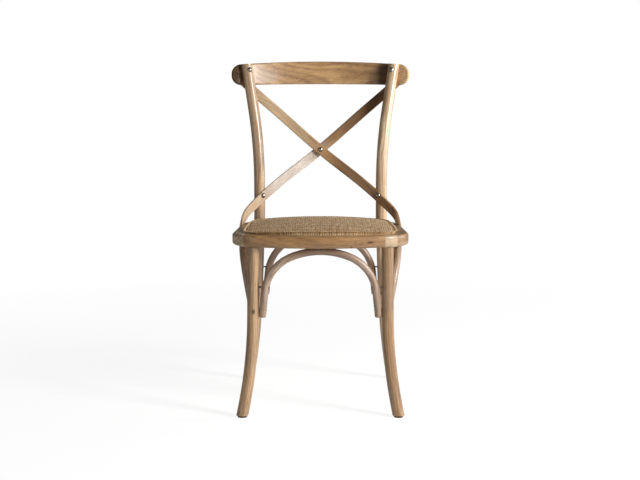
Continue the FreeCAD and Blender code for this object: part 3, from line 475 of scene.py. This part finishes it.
front_rail = oiled_oak("front_rail_oak", straight_grain((1, 0, 0.06), (-0.06, 0, 1)), ring_oak, 0.1,
                       pith=(0.38, 0.2), lean=0.15, ring_pitch=0.009, ring_warp=4.0, contrast=0.3,
                       marks=ring_knots, offset=10.0, coat=0.7)
right_rail = oiled_oak("right_rail_painted_shade_oak", side_rail_space, right_rail_painted_shade_tones, 0.5, pith=(0.3, 0.2),
                       ring_pitch=0.008, offset=11.0)
left_rail = oiled_oak("left_rail_painted_light_oak", side_rail_space, left_rail_painted_light_tones, 0.5, pith=(0.3, 0.2),
                      ring_pitch=0.008, offset=17.0)
pale_block = oiled_oak("pale_block_oak", straight_grain((0.7, 0.7, 0), (0.7, -0.7, 0)), pale_block_tones, 0.4,
                       pith=(0.3, 0.2), offset=12.0)
finish_with(front_rail, "seat_front_rail", "seat_rear_rail", "left_corner_block")
finish_with(right_rail, "right_side_rail")
finish_with(left_rail, "left_side_rail")
finish_with(pale_block, "right_corner_block")


# Woven seat mat
# Split rattan woven over and under on a padded board: thick ribs run from front to back, flat strands
# run across, and a row of short strands is whipped over the edge. The mat drops into the ring.

mat_edge_inset = 0.0344
mat_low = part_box("rattan_mat")[0].z
mat_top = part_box("rattan_mat")[1].z
crown_rise = 0.0095
crown_inset = 0.034
seat_ring_width = 0.450
seat_ring_depth = 0.420
front_bow_radius = 0.548
front_corner_radius = 0.085
rear_corner_radius = 0.120
rear_bow_radius = 0.600
side_lean = math.radians(3)
mat_middle = seat_front + seat_ring_depth / 2
crown_half = seat_ring_width / 2 - crown_inset
crown_radius = (crown_half ** 2 + crown_rise ** 2) / (2 * crown_rise)


def arc_points(centre, radius, start, end, step):
    """Points along an arc seen from above, without its last one."""
    count = max(2, round(abs(end - start) * radius / step))
    turns = [start + (end - start) * i / count for i in range(count)]
    return [(centre[0] + radius * math.cos(t), centre[1] + radius * math.sin(t)) for t in turns]


def moved(point, way, distance):
    """A point seen from above, shifted this far along a direction."""
    return (point[0] + way[0] * distance, point[1] + way[1] * distance)


def mat_outline(inset, step=0.002):
    """The seat's outline seen from above, this far inside the ring's outer edge, anticlockwise."""
    corner_x = seat_ring_width / 2 - front_corner_radius
    drop = math.sqrt((front_bow_radius - front_corner_radius) ** 2 - corner_x ** 2)
    corner = (corner_x, seat_front + front_bow_radius - drop)
    front = (0, seat_front + front_bow_radius)
    rear = (0, seat_front + seat_ring_depth - rear_bow_radius)
    out = (math.cos(side_lean), math.sin(side_lean))
    back = (-math.sin(side_lean), math.cos(side_lean))
    start = moved(corner, out, front_corner_radius - rear_corner_radius)
    offset = (start[0] - rear[0], start[1] - rear[1])
    reach = offset[0] * back[0] + offset[1] * back[1]
    gap = rear_bow_radius - rear_corner_radius
    run = math.sqrt(reach ** 2 - offset[0] ** 2 - offset[1] ** 2 + gap ** 2) - reach
    rear_corner = moved(start, back, run)
    front_turn = math.atan2(corner[1] - front[1], corner[0])
    rear_turn = math.atan2(rear_corner[1] - rear[1], rear_corner[0])
    side_start = moved(corner, out, front_corner_radius - inset)
    side_end = moved(rear_corner, out, rear_corner_radius - inset)
    count = round(math.dist(side_start, side_end) / step)
    right = arc_points(front, front_bow_radius - inset, -math.pi / 2, front_turn, step)
    right += arc_points(corner, front_corner_radius - inset, front_turn, side_lean, step)
    right += [(side_start[0] + (side_end[0] - side_start[0]) * i / count,
               side_start[1] + (side_end[1] - side_start[1]) * i / count) for i in range(count)]
    right += arc_points(rear_corner, rear_corner_radius - inset, side_lean, rear_turn, step)
    right += arc_points(rear, rear_bow_radius - inset, rear_turn, math.pi / 2, step)
    left = [(-x, y) for x, y in reversed(right[1:])]
    return right + [(0, seat_front + seat_ring_depth - inset)] + left


def flat_shape(name, points):
    """One flat face on the floor, for a node tree to measure from."""
    mesh = bpy.data.meshes.new(name)
    mesh.from_pydata([(x, y, 0.0) for x, y in points], [], [list(range(len(points)))])
    return put_in_scene(name, mesh)


def made_with(tree, name, values):
    """Runs a node tree on an empty object and keeps its result as a plain mesh object."""
    holder = put_in_scene(name + "_holder", bpy.data.meshes.new(name + "_holder"))
    modifier = holder.modifiers.new("make", "NODES")
    modifier.node_group = tree
    for item in tree.interface.items_tree:
        if item.item_type == "SOCKET" and item.in_out == "INPUT" and item.name in values:
            modifier[item.identifier] = values[item.name]
    bpy.context.view_layer.update()
    seen = holder.evaluated_get(bpy.context.evaluated_depsgraph_get())
    mesh = bpy.data.meshes.new_from_object(seen)
    mesh.name = name
    holder.modifiers.clear()
    bpy.data.objects.remove(holder)
    return put_in_scene(name, mesh)


def new_tree(name, inputs):
    """A Geometry Nodes tree with these named inputs, and the sockets that bring them in."""
    tree = bpy.data.node_groups.new(name, "GeometryNodeTree")
    tree.interface.new_socket(name="Geometry", in_out="OUTPUT", socket_type="NodeSocketGeometry")
    for label, kind in inputs:
        tree.interface.new_socket(name=label, in_out="INPUT", socket_type="NodeSocket" + kind)
    return tree, put(tree, "NodeGroupInput").outputs


def crown_height(tree, inputs, x, y, away):
    """The padded seat's surface: part of a big ball, rounded down towards the outline."""
    from_middle = minus(tree, y, inputs["Middle"])
    square = plus(tree, times(tree, x, x), times(tree, from_middle, from_middle))
    radius = inputs["Crown radius"]
    ball = reckon(tree, "SQRT", minus(tree, times(tree, radius, radius), square))
    crown = plus(tree, minus(tree, ball, radius), inputs["Top"])
    round_off = inputs["Edge radius"]
    near = reckon(tree, "MAXIMUM", minus(tree, round_off, away), 0.0)
    inner = minus(tree, times(tree, round_off, round_off), times(tree, near, near))
    fall = minus(tree, round_off, reckon(tree, "SQRT", reckon(tree, "MAXIMUM", inner, 0.0)))
    return minus(tree, crown, fall)


def chance(tree, inputs, low, high, number=None):
    """A random value between two others, drawn with the tree's seed: one for each number, or without a
    number one for each strand."""
    draw = {2: low, 3: high, "Seed": inputs["Seed"]}
    if number is not None:
        draw["ID"] = number
    return put(tree, "FunctionNodeRandomValue", draw, data_type="FLOAT").outputs[1]


def strand_body(tree, inputs, curves):
    """Gives curves the flattened section of a strand and ends the tree in one mesh of rattan."""
    profile = result(tree, "GeometryNodeCurvePrimitiveCircle", {"Resolution": strand_sides, "Radius": 0.5})
    size = joined(tree, inputs["Width"], inputs["Thickness"], 1.0)
    profile = result(tree, "GeometryNodeTransform", {"Geometry": profile, "Scale": size})
    body = result(tree, "GeometryNodeCurveToMesh", {"Curve": curves, "Profile Curve": profile,
                                                    "Fill Caps": True})
    body = result(tree, "GeometryNodeSetShadeSmooth", {"Geometry": body})
    body = result(tree, "GeometryNodeRealizeInstances", {"Geometry": body})
    body = result(tree, "GeometryNodeSetMaterial", {"Geometry": body, "Material": inputs["Rattan"]})
    put(tree, "NodeGroupOutput", {0: body})


def straight_strands(tree, inputs):
    """Parallel straight lines over the whole span, two points to each strand that they cross."""
    pitch = inputs["Pitch"]
    half_span = times(tree, inputs["Span"], 0.5)
    count = plus(tree, reckon(tree, "FLOOR", over(tree, inputs["Span"], pitch)), 1.0)
    first = times(tree, reckon(tree, "FLOOR", over(tree, half_span, pitch)), pitch)
    left_end = joined(tree, times(tree, first, -1.0))
    row = result(tree, "GeometryNodeMeshLine", {"Count": count, "Start Location": left_end,
                                                "Offset": joined(tree, pitch)}, mode="OFFSET")
    steps = reckon(tree, "ROUND", over(tree, inputs["Span"], inputs["Crossing pitch"]))
    reach = times(tree, times(tree, steps, inputs["Crossing pitch"]), 0.5)
    near_end = joined(tree, 0.0, times(tree, reach, -1.0))
    far_end = joined(tree, 0.0, reach)
    line = result(tree, "GeometryNodeCurvePrimitiveLine", {"Start": near_end, "End": far_end})
    samples = plus(tree, times(tree, steps, 2.0), 1.0)
    line = result(tree, "GeometryNodeResampleCurve", {"Curve": line, "Count": samples})
    strands = result(tree, "GeometryNodeInstanceOnPoints", {"Points": row, "Instance": line})
    return result(tree, "GeometryNodeRealizeInstances", {"Geometry": strands})


def over_and_under(tree, inputs, beside, along):
    """1 where a strand passes over the one across it, -1 where it passes under, smooth in between."""
    number = reckon(tree, "ROUND", over(tree, beside, inputs["Pitch"]))
    crossing = over(tree, along, inputs["Crossing pitch"])
    return reckon(tree, "COSINE", times(tree, plus(tree, number, crossing), math.pi))


def weave_tree():
    """Strands side by side that rise and fall over the ones across them, cut to the seat's outline."""
    tree, inputs = new_tree("woven_strands", [
        ("Outline", "Object"), ("Pitch", "Float"), ("Crossing pitch", "Float"), ("Across", "Float"),
        ("Rise", "Float"), ("Width", "Float"), ("Thickness", "Float"), ("Span", "Float"),
        ("Middle", "Float"), ("Crown radius", "Float"), ("Top", "Float"), ("Edge radius", "Float"),
        ("Trim", "Float"), ("Wander", "Float"), ("Seed", "Int"), ("Rattan", "Material")])
    turned = inputs["Across"]
    here = result(tree, "GeometryNodeInputPosition")
    place = split(tree, here)
    strands = straight_strands(tree, inputs)
    number = reckon(tree, "ROUND", over(tree, place[0], inputs["Pitch"]))
    own = chance(tree, inputs, 0.0, 1.0, number)
    strands = result(tree, "GeometryNodeStoreNamedAttribute", {
        "Geometry": strands, "Name": "strand", "Value": own}, data_type="FLOAT", domain="POINT")
    drift = result(tree, "ShaderNodeTexNoise", {"Vector": here, "Scale": wander_scale, "Detail": 2.0})
    side = plus(tree, place[0], times(tree, minus(tree, drift, 0.5), inputs["Wander"]))
    x = result(tree, "ShaderNodeMix", {0: turned, 2: side, 3: place[1]}, data_type="FLOAT")
    y = result(tree, "ShaderNodeMix", {0: turned, 2: place[1], 3: side}, data_type="FLOAT")
    level = joined(tree, x, plus(tree, y, inputs["Middle"]))
    strands = result(tree, "GeometryNodeSetPosition", {"Geometry": strands, "Position": level})

    seat = put(tree, "GeometryNodeObjectInfo", {"Object": inputs["Outline"]}).outputs["Geometry"]
    edge = put(tree, "GeometryNodeProximity", {"Target": seat, "Source Position": here},
               target_element="EDGES").outputs["Distance"]
    above = result(tree, "ShaderNodeVectorMath", {0: here, 1: (0, 0, 1)}, operation="ADD")
    down = {"Target Geometry": seat, "Source Position": above, "Ray Direction": (0, 0, -1), "Ray Length": 2.0}
    inside = put(tree, "GeometryNodeRaycast", down).outputs["Is Hit"]
    enough = result(tree, "FunctionNodeCompare", {0: edge, 1: inputs["Trim"]}, data_type="FLOAT",
                    operation="GREATER_THAN")
    kept = result(tree, "FunctionNodeBooleanMath", {0: inside, 1: enough}, operation="AND")
    lost = result(tree, "FunctionNodeBooleanMath", {0: kept}, operation="NOT")
    strands = result(tree, "GeometryNodeDeleteGeometry", {"Geometry": strands, "Selection": lost},
                     domain="POINT")

    height = crown_height(tree, inputs, place[0], place[1], edge)
    from_middle = minus(tree, place[1], inputs["Middle"])
    wave = result(tree, "ShaderNodeMix", {0: turned, 2: over_and_under(tree, inputs, place[0], from_middle),
                                          3: over_and_under(tree, inputs, from_middle, place[0])},
                  data_type="FLOAT")
    lift = joined(tree, 0.0, 0.0, plus(tree, height, times(tree, wave, inputs["Rise"])))
    strands = result(tree, "GeometryNodeSetPosition", {"Geometry": strands, "Offset": lift})
    strands = result(tree, "GeometryNodeSetCurveNormal", {"Curve": strands}, mode="Z_UP")
    strand_body(tree, inputs, strands)
    return tree


def whipping_tree():
    """Short strands side by side round the outline, each bent over the mat's edge and down."""
    tree, inputs = new_tree("edge_whipping", [
        ("Outline", "Object"), ("Pitch", "Float"), ("Bend radius", "Float"), ("Drop", "Float"),
        ("Middle", "Float"), ("Crown radius", "Float"), ("Top", "Float"), ("Edge radius", "Float"),
        ("Width", "Float"), ("Thickness", "Float"), ("Slant", "Float"), ("Lean", "Float"), ("Seed", "Int"),
        ("Rattan", "Material")])
    seat = put(tree, "GeometryNodeObjectInfo", {"Object": inputs["Outline"]}).outputs["Geometry"]
    rim = result(tree, "GeometryNodeMeshToCurve", {"Mesh": seat})
    here = split(tree, result(tree, "GeometryNodeInputPosition"))
    lift = joined(tree, 0.0, 0.0, crown_height(tree, inputs, here[0], here[1], inputs["Edge radius"]))
    rim = result(tree, "GeometryNodeSetPosition", {"Geometry": rim, "Offset": lift})
    places = put(tree, "GeometryNodeCurveToPoints", {"Curve": rim, "Length": inputs["Pitch"]}, mode="LENGTH")

    hook = result(tree, "GeometryNodeCurveArc", {"Resolution": hook_points, "Radius": inputs["Bend radius"],
                                                 "Start Angle": hook_start, "Sweep Angle": hook_sweep},
                  mode="RADIUS")
    hook = result(tree, "GeometryNodeTransform", {"Geometry": hook, "Rotation": (math.radians(90), 0, 0)})
    longer = joined(tree, 1.0, 1.0, over(tree, inputs["Drop"], inputs["Bend radius"]))
    shift = joined(tree, times(tree, inputs["Bend radius"], -1.0), 0.0, times(tree, inputs["Drop"], -1.0))
    hook = result(tree, "GeometryNodeTransform", {"Geometry": hook, "Translation": shift, "Scale": longer})

    facing = result(tree, "FunctionNodeAlignRotationToVector", {"Vector": places.outputs["Tangent"]},
                    axis="Y", pivot_axis="Z")
    lean = chance(tree, inputs, times(tree, inputs["Lean"], -1.0), inputs["Lean"])
    every_other = reckon(tree, "PINGPONG", result(tree, "GeometryNodeInputIndex"), 1.0)
    slant = times(tree, reckon(tree, "MULTIPLY_ADD", every_other, 2.0, -1.0), inputs["Slant"])
    turn = result(tree, "FunctionNodeRotateRotation", {"Rotation": facing,
                                                       "Rotate By": joined(tree, plus(tree, slant, lean))},
                  rotation_space="LOCAL")
    loops = result(tree, "GeometryNodeInstanceOnPoints", {"Points": places.outputs[0], "Instance": hook,
                                                          "Rotation": turn})
    own = chance(tree, inputs, 0.0, 1.0)
    loops = result(tree, "GeometryNodeStoreNamedAttribute", {
        "Geometry": loops, "Name": "strand", "Value": own}, data_type="FLOAT", domain="INSTANCE")
    loops = result(tree, "GeometryNodeRealizeInstances", {"Geometry": loops})
    strand_body(tree, inputs, loops)
    return tree


def split_rattan(name, dark, middle, light):
    """Peeled rattan split lengthways: straw to brown strands, each its own tone, with fine fibres along
    them and a faint gloss from the cane's skin."""
    material = bpy.data.materials.new(name)
    tree = emptied(material)
    own = put(tree, "ShaderNodeAttribute", attribute_name="strand").outputs["Fac"]
    place = object_place(tree)
    apart = joined(tree, 0.0, 0.0, own)
    shifted = result(tree, "ShaderNodeVectorMath", {0: place, 1: apart}, operation="ADD")
    blotch = result(tree, "ShaderNodeTexNoise", {"Vector": shifted, "Scale": blotch_scale, "Detail": 1.0})
    fibre = result(tree, "ShaderNodeTexNoise", {"Vector": place, "Scale": fibre_scale, "Detail": 2.0})
    tone = mixed(tree, spread(tree, blotch, 0.40, 0.60), paint(light), paint(middle))
    tone = mixed(tree, times(tree, spread(tree, own, 0.55, 1.0), 0.6), tone, paint(dark))
    tone = mixed(tree, times(tree, spread(tree, fibre, 0.5, 0.7), 0.3), tone, paint(dark))
    bump = result(tree, "ShaderNodeBump", {"Strength": 0.3, "Distance": 0.0003, "Height": fibre})
    set_surface(tree, {"Base Color": tone, "Roughness": 0.5, "IOR": 1.5, "Normal": bump})
    return material


rib_pitch = 0.0058
weft_pitch = 0.0042
strand_width = 0.0034
strand_span = 0.40
strand_sides = 6
wander_scale = 60.0
blotch_scale = 130.0
fibre_scale = 1500.0
weave_sink = 0.0012
whipping_inset = 0.0012
hook_points = 9
hook_start = math.radians(-28)
hook_sweep = math.radians(140)

seat_shape = flat_shape("seat_outline_shape", mat_outline(mat_edge_inset))
rim_shape = flat_shape("mat_rim_shape", mat_outline(mat_edge_inset + whipping_inset))
rattan = split_rattan("split_rattan", "#8E6A48", "#CBA070", "#FFE9C4")
rib_rattan = split_rattan("rib_rattan", "#5F432B", "#8A6745", "#B58F66")
# Painted light: the whipped edge gets a paler copy of the rattan, as the lamps leave that row in shade.
edge_rattan_painted_light = split_rattan("edge_rattan_painted_light", "#A78258", "#DAB484", "#F6DCB0")
strands = weave_tree()
shared = {"Middle": mat_middle, "Crown radius": crown_radius, "Top": mat_top - weave_sink,
          "Edge radius": 0.005, "Width": strand_width}
woven = shared | {"Outline": seat_shape, "Span": strand_span, "Trim": 0.0012}
ribs = made_with(strands, "rattan_ribs", woven | {
    "Pitch": rib_pitch, "Crossing pitch": weft_pitch, "Across": 0.0, "Rise": 0.0004, "Thickness": 0.0022,
    "Wander": 0.0006, "Seed": 3, "Rattan": rib_rattan})
wefts = made_with(strands, "rattan_wefts", woven | {
    "Pitch": weft_pitch, "Crossing pitch": rib_pitch, "Across": 1.0, "Rise": -0.0009, "Thickness": 0.0012,
    "Wander": 0.0004, "Seed": 8, "Rattan": rattan})
for strand_set in (ribs, wefts):
    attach(strand_set, "root")

whipping = made_with(whipping_tree(), "rattan_edge", shared | {
    "Outline": rim_shape, "Pitch": 0.0030, "Bend radius": 0.0052, "Drop": 0.0090, "Thickness": 0.0014,
    "Slant": math.radians(5), "Lean": math.radians(3), "Seed": 5, "Rattan": edge_rattan_painted_light})
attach(whipping, "root")
for shape in (seat_shape, rim_shape):
    bpy.data.objects.remove(shape)


# Padding under the weave
# A thin pad on a plywood board, pulled tight by the woven mat. A brown cloth covers it, and shows only
# in the small gaps between the strands, where its dark brown is partly painted shade.

pad_sink = 0.0022
pad_inset = mat_edge_inset + 0.0030
cover_rings = 14
cover_step = 0.006
skirt_rise = 0.009

cover = bmesh.new()
rows = []
for i in range(cover_rings + 1):
    share = i / cover_rings
    row = []
    for x, y in mat_outline(pad_inset, cover_step):
        px = x * (1 - share)
        py = mat_middle + (y - mat_middle) * (1 - share)
        height = mat_top - crown_radius + math.sqrt(crown_radius ** 2 - px ** 2 - (py - mat_middle) ** 2)
        row.append(cover.verts.new((px, py, height - pad_sink)))
    rows.append(row)
skirt = [cover.verts.new((v.co.x, v.co.y, mat_low + skirt_rise)) for v in rows[0]]
rows.insert(0, skirt)
for lower, upper in zip(rows, rows[1:]):
    for i in range(len(lower)):
        j = (i + 1) % len(lower)
        cover.faces.new((lower[i], lower[j], upper[j], upper[i]))
cover.faces.new(list(reversed(skirt)))
bmesh.ops.remove_doubles(cover, verts=cover.verts, dist=0.0001)
bmesh.ops.recalc_face_normals(cover, faces=cover.faces)
for face in cover.faces:
    face.smooth = True
cover_mesh = bpy.data.meshes.new("seat_pad_cover")
cover.to_mesh(cover_mesh)
cover.free()
pad_cover = put_in_scene("seat_pad_cover", cover_mesh)

# The cloth's dark brown stands partly as painted shade in the gaps between the strands.
cloth_and_gap_shade_material = bpy.data.materials.new("dark_cotton_and_gap_shade")
tree = emptied(cloth_and_gap_shade_material)
thread = result(tree, "ShaderNodeTexNoise", {"Vector": object_place(tree), "Scale": 1200.0, "Detail": 2.0})
set_surface(tree, {"Base Color": mixed(tree, thread, paint("#6B4E35"), paint("#8A6A4A")), "Roughness": 0.9})
cover_mesh.materials.append(cloth_and_gap_shade_material)
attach(pad_cover, "root")
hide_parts("seat_padding", "rattan_mat")


# Bolts, screws and feet
# Turned steel dome heads and cap nuts with a worn antique finish, and dark zinc-plated screws, washers
# and nails. Moulded nylon glides under the legs. Inside the seat, beech dowels and a plywood board.

def clouded(tree, colour, variation, scale, low, high):
    """A colour with clouds of another one in it."""
    cloud = result(tree, "ShaderNodeTexNoise", {"Vector": object_place(tree), "Scale": scale, "Detail": 3.0})
    return mixed(tree, spread(tree, cloud, low, high), paint(colour), paint(variation))


def antique_steel(name, colour, roughness):
    """Plated steel with fine specks of wear."""
    material = bpy.data.materials.new(name)
    tree = emptied(material)
    tone = clouded(tree, colour, worn_steel, scale=900.0, low=0.35, high=0.7)
    set_surface(tree, {"Base Color": tone, "Metallic": 1.0, "Roughness": roughness})
    return material


def plain(name, colour, roughness, variation):
    """A plain material with a little cloudiness in its colour."""
    material = bpy.data.materials.new(name)
    tree = emptied(material)
    tone = clouded(tree, colour, variation, scale=220.0, low=0.3, high=0.7)
    set_surface(tree, {"Base Color": tone, "Roughness": roughness, "IOR": 1.5})
    return material


worn_steel = "#8C8074"

finish_with(antique_steel("antique_steel", "#C0B8AE", 0.34), "crest_bolts", "crest_nuts", "strap_post_bolts",
            "strap_post_nuts", "crossing_bolt", "crossing_nut", "rear_leg_bolts")
finish_with(antique_steel("dark_zinc", "#4A443E", 0.40), "rear_leg_washers", "rear_leg_nuts",
            "strap_top_screws", "strap_foot_screws", "arch_end_screws", "arch_crown_screws",
            "seat_board_screws", "glide_nails")
finish_with(plain("moulded_nylon", "#2A211A", 0.45, "#33291F"), "left_front_glide", "right_front_glide",
            "left_rear_glide", "right_rear_glide")
finish_with(plain("raw_beech", "#C9A77C", 0.6, "#D8BC94"), "seat_ring_dowels", "front_leg_pins")
finish_with(plain("birch_plywood", "#BFA073", 0.65, "#D6BC92"), "seat_board")
